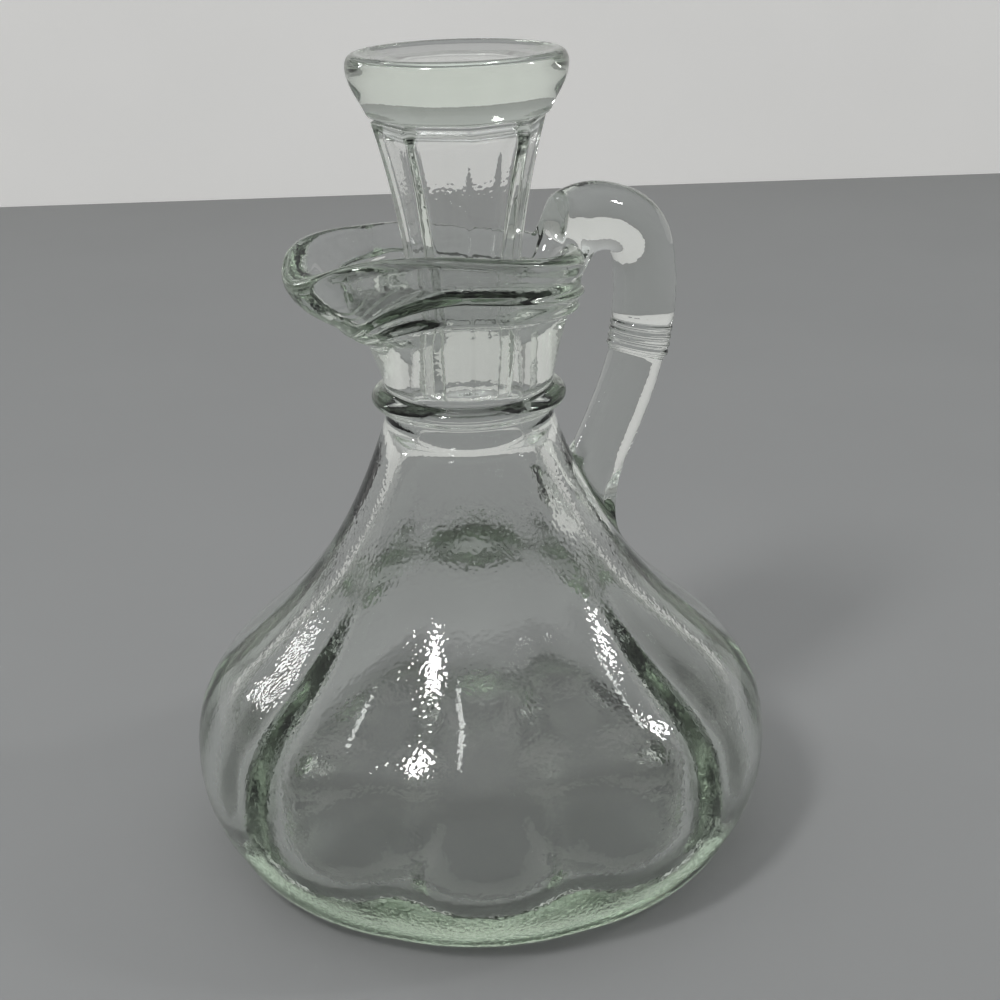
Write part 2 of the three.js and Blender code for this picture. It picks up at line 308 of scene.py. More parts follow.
class Wire:
    """A shader socket that can stand in a Python expression."""

    def __init__(self, tree, socket):
        self.tree = tree
        self.socket = socket

    def _math(self, operation, first, second):
        node = self.tree.nodes.new("ShaderNodeMath")
        node.operation = operation
        for slot, value in zip(node.inputs, (first, second)):
            if isinstance(value, Wire):
                self.tree.links.new(value.socket, slot)
            else:
                slot.default_value = value
        return Wire(self.tree, node.outputs[0])

    def __add__(self, other):
        return self._math("ADD", self, other)

    def __mul__(self, other):
        return self._math("MULTIPLY", self, other)

    def __rsub__(self, other):
        return self._math("SUBTRACT", other, self)

    __radd__ = __add__
    __rmul__ = __mul__


class Shader:
    """The node tree of a material or a world, filled by calls."""

    def __init__(self, owner):
        owner.use_nodes = True
        self.tree = owner.node_tree
        self.tree.nodes.clear()

    def node(self, kind, settings=None, sockets=None):
        """Adds a node, sets its settings first and then the values or links of its sockets."""
        made = self.tree.nodes.new(kind)
        for name, value in (settings or {}).items():
            setattr(made, name, value)
        for name, value in (sockets or {}).items():
            socket = self.named(made.inputs, name)
            if isinstance(value, Wire):
                self.tree.links.new(value.socket, socket)
            else:
                socket.default_value = value
        return made

    def wire(self, node, output):
        """One output of a node, for use in an expression or a socket."""
        return Wire(self.tree, self.named(node.outputs, output))

    def step(self, value, start, end):
        """A smooth step from 0 at start to 1 at end."""
        made = self.node(
            "ShaderNodeMapRange",
            {"interpolation_type": "SMOOTHSTEP"},
            {"Value": value, "From Min": start, "From Max": end},
        )
        return self.wire(made, "Result")

    @staticmethod
    def named(sockets, name):
        """The socket with this name, or with this identifier where a name is used twice."""
        for socket in sockets:
            if name == socket.identifier:
                return socket
        return sockets[name]


def pressed_glass(name, glass):
    """Clear soda glass with a faint green body and a rippled, fire-polished skin."""
    material = bpy.data.materials.new(name)
    shader = Shader(material)
    place = shader.wire(shader.node("ShaderNodeTexCoord"), "Object")
    skin = shader.wire(
        shader.node("ShaderNodeAttribute", {"attribute_name": "skin"}), "Fac"
    )
    peel = shader.node(
        "ShaderNodeTexNoise",
        {"noise_dimensions": "3D"},
        {"Vector": place, "Scale": glass.peel_scale, "Detail": 0.0},
    )
    wave = shader.node(
        "ShaderNodeTexNoise",
        {"noise_dimensions": "3D"},
        {"Vector": place, "Scale": glass.wave_scale, "Detail": 0.0},
    )
    fine = shader.wire(peel, "Fac") * (glass.peel_height / MM)
    slow = shader.wire(wave, "Fac") * (glass.wave_height / MM)
    bump = shader.node(
        "ShaderNodeBump",
        None,
        {"Strength": 1.0, "Distance": MM, "Height": (fine + slow) * skin},
    )
    surface = shader.node(
        "ShaderNodeBsdfPrincipled",
        None,
        {
            "Base Color": (1.0, 1.0, 1.0, 1.0),
            "Roughness": glass.roughness,
            "IOR": glass.ior,
            "Transmission Weight": 1.0,
            "Normal": shader.wire(bump, "Normal"),
        },
    )
    body = shader.node(
        "ShaderNodeVolumeAbsorption",
        None,
        {"Color": (*glass.tint, 1.0), "Density": glass.density},
    )
    shader.node(
        "ShaderNodeOutputMaterial",
        None,
        {"Surface": shader.wire(surface, "BSDF"), "Volume": shader.wire(body, "Volume")},
    )
    return material


PAPER_ROUGHNESS = 0.9
CLOUD_SCALE = 9.0
CLOUD_DETAIL = 3.0
CLOUD_SPREAD = 0.04


def matt_paper(name, tint, glow=0.0):
    """Plain matt surface with a faint cloudiness, for floor and backdrop."""
    material = bpy.data.materials.new(name)
    shader = Shader(material)
    place = shader.wire(shader.node("ShaderNodeTexCoord"), "Object")
    cloud = shader.node(
        "ShaderNodeTexNoise",
        {"noise_dimensions": "3D"},
        {"Vector": place, "Scale": CLOUD_SCALE, "Detail": CLOUD_DETAIL},
    )
    mixed = shader.node(
        "ShaderNodeMix",
        {"data_type": "RGBA"},
        {
            "Factor_Float": shader.wire(cloud, "Fac"),
            "A_Color": (*((1 - CLOUD_SPREAD) * part for part in tint), 1.0),
            "B_Color": (*((1 + CLOUD_SPREAD) * part for part in tint), 1.0),
        },
    )
    surface = shader.node(
        "ShaderNodeBsdfPrincipled",
        None,
        {
            "Base Color": shader.wire(mixed, "Result_Color"),
            "Roughness": PAPER_ROUGHNESS,
            "Emission Color": shader.wire(mixed, "Result_Color"),
            "Emission Strength": glow,
        },
    )
    shader.node("ShaderNodeOutputMaterial", None, {"Surface": shader.wire(surface, "BSDF")})
    return material


# Modelling helpers

def at(radius, height):
    """A point of a profile."""
    return Vector((radius, 0.0, height))


def curve(start, start_handle, end_handle, end, steps):
    """Points along a curve with two handles."""
    return interpolate_bezier(start, start_handle, end_handle, end, steps + 1)


def rounded(start, corner, end, steps):
    """Points along a corner that is rounded off between start and end."""
    return curve(start, start.lerp(corner, 2 / 3), end.lerp(corner, 2 / 3), end, steps)


def thin(points, steps):
    """Every so many points of a dense run, with both its ends."""
    return [points[round(i * (len(points) - 1) / steps)] for i in range(steps + 1)]


def chain(*runs):
    """Joins runs of points and drops a point that repeats the one before it."""
    points = []
    for point in (p for run in runs for p in run):
        if not points or (point - points[-1]).length > SAME_POINT:
            points.append(point)
    return points


def passing(points, height):
    """Index of the first point of a rising run that reaches a height."""
    return next(i for i, point in enumerate(points) if point.z >= height)


def radius_at(points, height):
    """Radius of a rising run of points at a height."""
    i = max(1, min(len(points) - 1, passing(points, min(height, points[-1].z))))
    below, above = points[i - 1], points[i]
    return below.lerp(above, (height - below.z) / (above.z - below.z)).x


def ease(value, start, end):
    """0 before start, 1 after end and smooth in between."""
    t = min(1.0, max(0.0, (value - start) / (end - start)))
    return t * t * (3 - 2 * t)


def bell(value, half_width):
    """1 at 0, falling off smoothly on both sides."""
    return math.exp(-((value / half_width) ** 2))


def turn(bm, points, sides, **layers):
    """Turns a profile about Z. Each layer gives the points a value that their vertices keep."""
    line = [bm.verts.new(point) for point in points]
    for name, values in layers.items():
        layer = bm.verts.layers.float[name]
        for vert, value in zip(line, values):
            vert[layer] = value
    edges = [bm.edges.new(pair) for pair in zip(line, line[1:])]
    bmesh.ops.spin(
        bm,
        geom=line + edges,
        axis=UP,
        cent=(0.0, 0.0, 0.0),
        angle=math.tau,
        steps=sides,
        use_merge=True,
    )


def leans(points):
    """How far the surface of an inner profile faces up at each point."""
    found = []
    for i in range(len(points)):
        along = points[min(i + 1, len(points) - 1)] - points[max(i - 1, 0)]
        found.append(math.atan2(-along.x, -along.z))
    return found


def polar(place):
    """Radius and angle of a point about Z."""
    return math.hypot(place.x, place.y), math.atan2(place.y, place.x)


def set_polar(vert, radius, theta, height):
    """Puts a vertex at a radius, angle and height."""
    vert.co = (radius * math.cos(theta), radius * math.sin(theta), height)


def finish_piece(bm, name, node, material):
    """Makes the mesh an object that stands for a CAD node."""
    bmesh.ops.remove_doubles(bm, verts=bm.verts, dist=SAME_POINT)
    bmesh.ops.recalc_face_normals(bm, faces=bm.faces)
    for face in bm.faces:
        face.smooth = True
    mesh = bpy.data.meshes.new(name)
    bm.to_mesh(mesh)
    bm.free()
    piece = bpy.data.objects.new(name, mesh)
    bpy.context.scene.collection.objects.link(piece)
    mesh.materials.append(material)
    smooth = piece.modifiers.new("Smooth skin", "SUBSURF")
    smooth.levels = SUBDIVISIONS
    smooth.render_levels = SUBDIVISIONS
    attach(piece, "root")
    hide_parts(node)


# Bottle

BOTTLE_SIDES = 144
FINE = 400

# Rows of faces on each stretch of the bottle's profile
HEEL_ROWS = 8
BELLY_ROWS = 13
FOOT_ROWS = 21
SHOULDER_ROWS = 4
COLLAR_ROWS = 8
NECK_ROWS = 12
BOWL_ROWS = 4
EDGE_ROWS = 4
CUP_ROWS = 14
THROAT_ROWS = 4
WALL_ROWS = 18
FLOOR_ROWS = 11

# How strongly the unevenness of the glass shows, against the outside of the body
SMOOTH_SKIN = 0.35
INNER_SKIN = 0.15
SKIN_FADE = 0.75

# Small swells of the rim's rounded edge
RIM_CROWN = 0.05 * MM
RIM_SWELL = 0.2 * MM
BRIM_SWELL = 0.5 * MM

# Room round the band, as a share of its edge, and how far under it the dip begins
BAND_CLEAR = 1.3
DIP_RUN = 10 * MM

# Where the bays inside begin and are full, as shares of the body's radius
BAY_START, BAY_FULL = 0.3, 0.75


def shoulder_line(body):
    """Dense points up the shoulder, from the widest height to the collar."""
    return curve(
        at(body.radius, body.widest),
        at(body.radius, body.widest + body.belly_rise),
        at(body.waist_radius, body.waist),
        at(body.shoulder_radius, body.shoulder),
        FINE,
    )


def bowl_line(neck, rim):
    """Dense points up the neck and its bowl, from the collar to the rounding of the rim."""
    return curve(
        at(neck.radius, neck.collar + neck.collar_thickness / 2),
        at(neck.swell_radius, neck.swell),
        at(neck.flare_radius, neck.flare),
        at(rim.radius, rim.height - rim.edge),
        FINE,
    )


def rim_top(rim):
    """Highest point of the rounded rim."""
    return at(rim.radius - rim.wall / 2, rim.height + RIM_CROWN)


def collar_bead(neck):
    """Half round bead of the collar."""
    points = []
    for i in range(COLLAR_ROWS + 1):
        lift = math.pi * (i / COLLAR_ROWS - 0.5)
        out = (neck.collar_radius - neck.radius) * math.cos(lift)
        up = neck.collar_thickness / 2 * math.sin(lift)
        points.append(at(neck.radius + out, neck.collar + up))
    return points


def bowl_rings(neck, rim):
    """Rings of the neck, close together at the two steps of the band."""
    fine = bowl_line(neck, rim)
    near = [neck.band_edge * i / 2 for i in (-2, -1, 0, 1, 2)]
    low = passing(fine, neck.band_low + BAND_CLEAR * near[0])
    high = passing(fine, neck.band_high + BAND_CLEAR * near[-1])
    heights = [neck.band_low + gap for gap in near]
    heights += [(neck.band_low + neck.band_high) / 2]
    heights += [neck.band_high + gap for gap in near]
    band = [at(radius_at(fine, height), height) for height in heights]
    return chain(thin(fine[: low + 1], NECK_ROWS), band, thin(fine[high:], BOWL_ROWS))


def outer_profile(settings):
    """Profile of the outside, from the middle of the underside to the top of the rim."""
    body, neck, rim, handle = settings.body, settings.neck, settings.rim, settings.handle
    underside = [at(body.foot_radius * part, 0.0) for part in FLAT_RINGS]
    heel = curve(
        at(body.foot_radius, 0.0),
        at(body.foot_radius + body.heel_run, body.heel_lift),
        at(body.radius, body.heel_full),
        at(body.radius, body.widest),
        HEEL_ROWS,
    )
    shoulder = shoulder_line(body)
    low, high = passing(shoulder, handle.foot_low), passing(shoulder, handle.foot_high)
    edge = rounded(
        at(rim.radius, rim.height - rim.edge),
        at(rim.radius + RIM_SWELL, rim.height),
        rim_top(rim),
        EDGE_ROWS,
    )
    return chain(
        underside,
        heel,
        thin(shoulder[: low + 1], BELLY_ROWS),
        thin(shoulder[low : high + 1], FOOT_ROWS),
        thin(shoulder[high:], SHOULDER_ROWS),
        collar_bead(neck),
        bowl_rings(neck, rim),
        edge,
    )


def inner_profile(settings):
    """Profile of the inside, from the top of the rim to the middle of the floor."""
    body, neck, rim = settings.body, settings.neck, settings.rim
    cup_radius = rim.radius - rim.wall
    brim = at(cup_radius, rim.height - rim.edge / 2)
    edge = rounded(rim_top(rim), at(cup_radius + BRIM_SWELL, rim.height), brim, EDGE_ROWS)
    cup = curve(
        brim,
        at(neck.cup_radius, neck.cup),
        at(neck.bore_radius, neck.cup_throat),
        at(neck.bore_radius, neck.bore_top),
        CUP_ROWS,
    )
    wall = inner_wall(body, neck.throat - neck.throat_round)
    throat = rounded(
        at(neck.bore_radius, neck.throat + neck.throat_round),
        at(neck.bore_radius, neck.throat - neck.throat_round / 2),
        wall[0],
        THROAT_ROWS,
    )
    inside_radius = body.radius - body.wall
    floor_edge = curve(
        at(inside_radius, body.widest),
        at(inside_radius, body.floor + body.floor_rise),
        at(body.floor_flat + body.floor_run, body.floor),
        at(body.floor_flat, body.floor),
        FLOOR_ROWS,
    )
    middle = [at(body.floor_flat * part, body.floor) for part in reversed(FLAT_RINGS)]
    return chain(edge, cup, throat, thin(wall, WALL_ROWS), floor_edge, middle)


def inner_wall(body, top):
    """The shoulder moved inwards by the wall, from a height down to the widest ring."""
    points = []
    shoulder = shoulder_line(body)
    for row, (before, here, after) in enumerate(zip(shoulder, shoulder[1:], shoulder[2:])):
        along = (after - before).normalized()
        part = (row + 1) / (len(shoulder) - 1)
        wall = body.wall + (body.shoulder_wall - body.wall) * part
        points.append(here + Vector((-along.z, 0.0, along.x)) * wall)
    return [point for point in reversed(points) if point.z < top]


def valley_share(body, theta, height):
    """0 on the crest of a lobe, and the lobe depth in the valley between two."""
    turns = theta * body.lobes / math.tau
    full = ease(body.shoulder - height, 0.0, body.shoulder - body.lobe_fade)
    return body.lobe_depth * full * (2 * (turns - round(turns))) ** 2


def bay_depth(body, radius, theta, height):
    """How far the inner wall stands into the hollow between two lobes."""
    near_wall = ease(radius, BAY_START * body.radius, BAY_FULL * body.radius)
    turns = theta * body.lobes / math.tau
    full = ease(body.shoulder - height, 0.0, body.shoulder - body.lobe_fade)
    ridge = bell(0.5 - abs(turns - round(turns)), body.ridge_width)
    return body.lobe_depth * full * body.inner_lobes * near_wall * ridge * radius


def dip_band(neck, rim, from_lip, height):
    """How far a ring of the neck dips under the lip."""
    down = neck.band_low_dip * ease(height, neck.band_low - DIP_RUN, neck.band_low)
    down += (neck.band_high_dip - neck.band_low_dip) * ease(height, neck.band_low, neck.band_high)
    down -= neck.band_high_dip * ease(height, neck.band_high, rim.height - rim.edge)
    return down * bell(from_lip, neck.band_dip_angle)


def band_step(neck, rim, height):
    """How far the band and the bowl above it stand out of the neck."""
    half = neck.band_edge / 2
    out = neck.band_proud * ease(height, neck.band_low - half, neck.band_low + half)
    back = neck.band_proud - neck.band_rest
    out -= back * ease(height, neck.band_high - half, neck.band_high + half)
    out -= neck.band_rest * ease(height, neck.band_high + half, rim.height - rim.edge)
    beads = bell(height - neck.band_low, neck.band_edge)
    beads += bell(height - neck.band_high, neck.band_edge)
    return out + neck.band_bead * beads


def draw_lip(rim, radius, from_lip, height):
    """Radius and height with the lip drawn out and the rim sloped."""
    root = rim.lip_root_share * ease(height, rim.lip_root, rim.lip_start)
    up = root + (1 - rim.lip_root_share) * ease(height, rim.lip_start, rim.lip_full)
    out = min(1.0, radius / rim.radius)
    spread = min(1.0, from_lip / rim.lip_half)
    reach = rim.lip_reach * 0.5 * (1 + math.cos(math.pi * spread))
    rise = rim.slope * math.cos(from_lip) - rim.lip_drop * bell(from_lip, rim.lip_drop_half)
    return radius + reach * up * out, height + rise * up * out


def shape_bottle(bm, settings):
    """Gives the turned bottle its lobes, band, lip and sloped rim."""
    body, neck, rim = settings.body, settings.neck, settings.rim
    inside, lean = (bm.verts.layers.float[name] for name in ("inside", "lean"))
    bowl = bowl_line(neck, rim)
    for vert in bm.verts:
        radius, theta = polar(vert.co)
        height = vert.co.z
        from_lip = math.pi - abs(theta)
        if vert[inside]:
            depth = bay_depth(body, radius, theta, height)
            radius -= depth * math.cos(vert[lean])
            height += depth * math.sin(vert[lean])
        elif height < body.shoulder:
            radius *= 1 - valley_share(body, theta, height)
        elif bowl[0].z < height < bowl[-1].z:
            step = band_step(neck, rim, height)
            height -= dip_band(neck, rim, from_lip, height)
            radius = radius_at(bowl, height) + step
        radius, height = draw_lip(rim, radius, from_lip, height)
        set_polar(vert, radius, theta, height)


# Handle

UPPER_ROWS = 24
LOWER_ROWS = 14
RING_GAP = 0.4 * MM
RING_CROWN = 0.05 * MM
PROBE = 0.5 * MM
ANGLE_SLACK = 0.01


def handle_line(handle):
    """Dense points of the handle's centre line, from the rim round to the shoulder."""
    stops = [
        at(*stop)
        for stop in (
            handle.start,
            handle.rise,
            handle.crown,
            handle.corner,
            handle.outermost,
            handle.grip,
            handle.lower,
            handle.landing,
            handle.end,
        )
    ]
    runs = []
    for i, (here, there) in enumerate(zip(stops, stops[1:])):
        gap = (there - here).length / 3
        leave = (there - stops[max(i - 1, 0)]).normalized() * gap
        arrive = (stops[min(i + 2, len(stops) - 1)] - here).normalized() * gap
        runs.append(curve(here, here + leave, there - arrive, there, 40))
    return chain(*runs)


class Rod:
    """A centre line that gives the place and direction at a length along it."""

    def __init__(self, points):
        self.points = points
        self.marks = [0.0]
        for here, there in zip(points, points[1:]):
            self.marks.append(self.marks[-1] + (there - here).length)

    def place(self, reach):
        i = next(i for i in range(1, len(self.marks)) if self.marks[i] >= reach - SAME_POINT)
        gap = self.marks[i] - self.marks[i - 1]
        return self.points[i - 1].lerp(self.points[i], (reach - self.marks[i - 1]) / gap)

    def direction(self, reach):
        before = self.place(max(reach - PROBE, 0.0))
        after = self.place(min(reach + PROBE, self.marks[-1]))
        return (after - before).normalized()

    def coming_down(self, height):
        """Length along the line at which it last comes down through a height."""
        return max(mark for mark, point in zip(self.marks, self.points) if point.z >= height)


def rod_profile(handle, start, grip, end):
    """Radius along the rod, as a profile whose height is the length along the rod."""
    points = []
    half = handle.rings * handle.ring_pitch / 2
    for i in range(UPPER_ROWS):
        reach = start + (grip - half - RING_GAP - start) * i / (UPPER_ROWS - 1)
        flare = 1 - ease(reach - start, 0.0, handle.root_run)
        points.append(at(handle.radius + (handle.root_radius - handle.radius) * flare, reach))
    for ring in range(handle.rings):
        low = grip - half + ring * handle.ring_pitch
        points.append(at(handle.radius - handle.ring_depth, low))
        points.append(at(handle.radius + RING_CROWN, low + 0.3 * handle.ring_pitch))
        points.append(at(handle.radius + RING_CROWN, low + 0.7 * handle.ring_pitch))
    points.append(at(handle.radius - handle.ring_depth, grip + half))
    low = grip + half + RING_GAP
    for i in range(LOWER_ROWS):
        points.append(at(handle.lower_radius, low + (end - low) * i / (LOWER_ROWS - 1)))
    return points


def bend_rod(verts, rod):
    """Lays a straight rod on Z along its centre line."""
    for vert in verts:
        centre, along = rod.place(vert.co.z), rod.direction(vert.co.z)
        across = Vector((along.z, 0.0, -along.x))
        vert.co = centre + across * vert.co.x + Vector((0.0, vert.co.y, 0.0))


def cut_patch(bm, low, high, half):
    """Opens rows of the wall towards the handle and returns the edges round the gap."""
    row = bm.verts.layers.float["row"]
    limit = half + ANGLE_SLACK

    def within(vert):
        return low <= vert[row] <= high and abs(polar(vert.co)[1]) <= limit

    patch = [face for face in bm.faces if all(within(vert) for vert in face.verts)]
    edge = {e for face in patch for e in face.edges if not all(f in patch for f in e.link_faces)}
    bmesh.ops.delete(bm, geom=patch, context="FACES")
    return [e for e in edge if e.is_valid]


def grow_together(bm, patch, ring, cuts, rounds):
    """Bridges a patch of wall to an end of the rod and smooths the join."""
    ends = set(patch) | set(ring)
    made = bmesh.ops.bridge_loops(bm, edges=patch + ring)
    rungs = [edge for edge in made["edges"] if edge not in ends]
    split = bmesh.ops.subdivide_edgering(
        bm,
        edges=rungs,
        interp_mode="SURFACE",
        smooth=0.5,
        cuts=cuts,
        profile_shape="SMOOTH",
        profile_shape_factor=0.0,
    )
    fixed = {vert for edge in ends for vert in edge.verts}
    skin = bm.verts.layers.float["skin"]
    fresh = {vert for face in split["faces"] for vert in face.verts} - fixed
    for vert in fresh:
        vert[skin] = SMOOTH_SKIN
    for _ in range(rounds):
        bmesh.ops.smooth_vert(
            bm,
            verts=list(fresh),
            factor=0.5,
            use_axis_x=True,
            use_axis_y=True,
            use_axis_z=True,
        )


def add_handle(bm, settings, root_rows, foot_rows):
    """Bends the rod handle and grows it into the rim and the shoulder."""
    handle = settings.handle
    rod = Rod(handle_line(handle))
    start, end = handle.root_run, rod.coming_down(handle.foot_top)
    points = rod_profile(handle, start, rod.coming_down(handle.grip[1]), end)
    root = cut_patch(bm, *root_rows, handle.root_half)
    columns = len(root) / 2 - (foot_rows[1] - foot_rows[0])
    foot = cut_patch(bm, *foot_rows, columns / 2 * math.tau / BOTTLE_SIDES)
    wall = set(bm.verts)
    turn(bm, points, len(root), row=[-1.0] * len(points), skin=[SMOOTH_SKIN] * len(points))
    fresh = [vert for vert in bm.verts if vert not in wall]
    first, last = (
        [
            edge
            for edge in bm.edges
            if all(v not in wall and abs(v.co.z - mark) < SAME_POINT for v in edge.verts)
        ]
        for mark in (start, end)
    )
    bend_rod(fresh, rod)
    grow_together(bm, root, first, cuts=6, rounds=6)
    grow_together(bm, foot, last, cuts=4, rounds=5)


class CRUET_OT_bottle(bpy.types.Operator):
    """Build the hollow bottle with its lobes, collar, pouring lip and handle"""

    bl_idname = "cruet.bottle"
    bl_label = "Bottle"

    def execute(self, context):
        settings = context.scene.cruet
        handle = settings.handle
        outside = outer_profile(settings)
        inside = inner_profile(settings)[1:]
        bm = bmesh.new()
        for name in ("inside", "lean", "row", "skin"):
            bm.verts.layers.float.new(name)
        shoulder = settings.body.shoulder
        outer_skin = [
            1.0 - (1.0 - SMOOTH_SKIN) * ease(point.z, SKIN_FADE * shoulder, shoulder)
            for point in outside
        ]
        turn(
            bm,
            outside + inside,
            BOTTLE_SIDES,
            inside=[0.0] * len(outside) + [1.0] * len(inside),
            lean=[0.0] * len(outside) + leans(inside),
            row=range(len(outside) + len(inside)),
            skin=outer_skin + [INNER_SKIN] * len(inside),
        )
        bmesh.ops.remove_doubles(bm, verts=bm.verts, dist=SAME_POINT)
        shape_bottle(bm, settings)
        foot_low = passing(outside, handle.foot_low)
        add_handle(
            bm,
            settings,
            (passing(outside, settings.neck.band_low), len(outside) + 1),
            (foot_low, foot_low + FOOT_ROWS),
        )
        for name in ("inside", "lean", "row"):
            bm.verts.layers.float.remove(bm.verts.layers.float[name])
        glass = pressed_glass("bottle_glass", settings.glass)
        finish_piece(bm, "cruet_bottle", "bottle", glass)
        return {"FINISHED"}


# Stopper

STOPPER_SIDES = 96
PEG_ROWS = 3
STEM_ROWS = 44
HOLLOW_ROWS = 22
ROOF_ROWS = 4
HEAD_ROWS = 7
BROW_ROWS = 5
DISH_ROWS = 3
DISH_LIFT = 0.3
LEDGE_INSET = 0.15 * MM

# Points of the groove under the head, as shares of its depth and of its height
GROOVE_SHAPE = ((0.0, 0.15), (0.8, 0.3), (1.0, 0.6), (0.7, 0.9))


def stem_hollow(stopper, stem):
    """Profile of the inside of the stem, from the middle of its closed end down the wall."""
    limit = stopper.hollow_top - stopper.hollow_round
    wall = [at(point.x - stopper.stem_wall, point.z) for point in stem if point.z < limit]
    corner = rounded(
        wall[-1],
        at(wall[-1].x, stopper.hollow_top),
        at(wall[-1].x - stopper.hollow_round, stopper.hollow_top),
        ROOF_ROWS,
    )
    roof = [at(corner[-1].x * part, stopper.hollow_top) for part in (0.0, 0.6)]
    return chain(roof, corner[::-1], thin(wall[::-1], HOLLOW_ROWS))


def stopper_profile(stopper):
    """Profile of the stopper, from the top of its hollow to the middle of the dish."""
    stem_top = stopper.head_low - stopper.step
    end = rounded(
        at(stopper.peg_radius - stopper.peg_round, stopper.peg_end),
        at(stopper.peg_radius, stopper.peg_end),
        at(stopper.peg_radius, stopper.peg_end + stopper.peg_round),
        PEG_ROWS,
    )
    stem = curve(
        end[-1],
        at(stopper.peg_radius + stopper.peg_swell, stopper.peg_swell_height),
        at(stopper.stem_waist, stopper.stem_waist_height),
        at(stopper.stem_radius, stem_top),
        STEM_ROWS,
    )
    side = curve(
        at(stopper.head_neck, stopper.head_low),
        at(stopper.head_neck + MM, stopper.head_low + stopper.head_curve),
        at(stopper.head_radius, stopper.top - stopper.head_edge - stopper.head_curve),
        at(stopper.head_radius, stopper.top - stopper.head_edge),
        HEAD_ROWS,
    )
    brow = at(stopper.head_radius - stopper.head_edge_run, stopper.top)
    edge = rounded(side[-1], at(stopper.head_radius, stopper.top), brow, BROW_ROWS)
    rim = at(stopper.head_radius - stopper.dish_edge, stopper.top - stopper.dish * (1 - DISH_LIFT))
    dish = rounded(brow, brow.lerp(rim, 0.6), rim, DISH_ROWS)
    middle = [
        at(rim.x * part, stopper.top - stopper.dish * (1 - DISH_LIFT * part * part))
        for part in (0.8, 0.4, 0.0)
    ]
    ledge = [
        at(stopper.stem_radius - depth * stopper.groove, stem_top + rise * stopper.step)
        for depth, rise in GROOVE_SHAPE
    ]
    ledge.append(at(stopper.head_neck - LEDGE_INSET, stopper.head_low))
    mouth = at(stopper.peg_radius - stopper.stem_wall, stopper.peg_end)
    return chain(stem_hollow(stopper, stem), [mouth], end, stem, ledge, side, edge, dish, middle)


class CRUET_OT_stopper(bpy.types.Operator):
    """Build the hollow stopper with its panelled stem and dished head"""

    bl_idname = "cruet.stopper"
    bl_label = "Stopper"

    def execute(self, context):
        settings = context.scene.cruet
        stopper = settings.stopper
        bm = bmesh.new()
        bm.verts.layers.float.new("skin")
        points = stopper_profile(stopper)
        turn(bm, points, STOPPER_SIDES, skin=[INNER_SKIN] * len(points))
        bmesh.ops.remove_doubles(bm, verts=bm.verts, dist=SAME_POINT)
        sector = math.tau / stopper.panels
        for vert in bm.verts:
            radius, theta = polar(vert.co)
            off = theta - sector * round(theta / sector)
            flat = radius * math.cos(sector / 2) / math.cos(off)
            if vert.co.z < stopper.head_low - SAME_POINT:
                set_polar(vert, flat, theta, vert.co.z)
        glass = pressed_glass("stopper_glass", settings.glass)
        finish_piece(bm, "cruet_stopper", "stopper", glass)
        return {"FINISHED"}


# Stage

FLOOR_DROP = 0.2 * MM
LAMP_AIM = 60 * MM
SENSOR_WIDTH = 36.0
HORIZON_SHARE = 0.04

# Where the dark part of the room starts and is full: its low edge, its high edge and its sides
SHADE_LOW = (0.2, 0.34)
SHADE_HIGH = (0.54, 0.7)
SHADE_SIDE = (0.1, 0.6)


def heading(azimuth, elevation):
    """Unit vector from the cruet towards an azimuth and an elevation."""
    flat = math.cos(elevation)
    return Vector((math.sin(azimuth) * flat, -math.cos(azimuth) * flat, math.sin(elevation)))


def stage_piece(bm, name, material):
    """Makes a mesh part of the stage."""
    mesh = bpy.data.meshes.new(name)
    bmesh.ops.recalc_face_normals(bm, faces=bm.faces)
    bm.to_mesh(mesh)
    bm.free()
    mesh.materials.append(material)
    piece = bpy.data.objects.new(name, mesh)
    bpy.context.scene.collection.objects.link(piece)


def add_lamp(name, azimuth, elevation, distance, width, height, power):
    """Adds a soft box that faces the middle of the cruet."""
    lamp = bpy.data.lights.new(name, "AREA")
    lamp.shape = "RECTANGLE"
    lamp.size = width
    lamp.size_y = height
    lamp.energy = power
    box = bpy.data.objects.new(name, lamp)
    bpy.context.scene.collection.objects.link(box)
    towards = heading(math.radians(azimuth), math.radians(elevation))
    box.location = towards * distance + UP * LAMP_AIM
    box.rotation_mode = "QUATERNION"
    box.rotation_quaternion = towards.to_track_quat("Z", "Y")


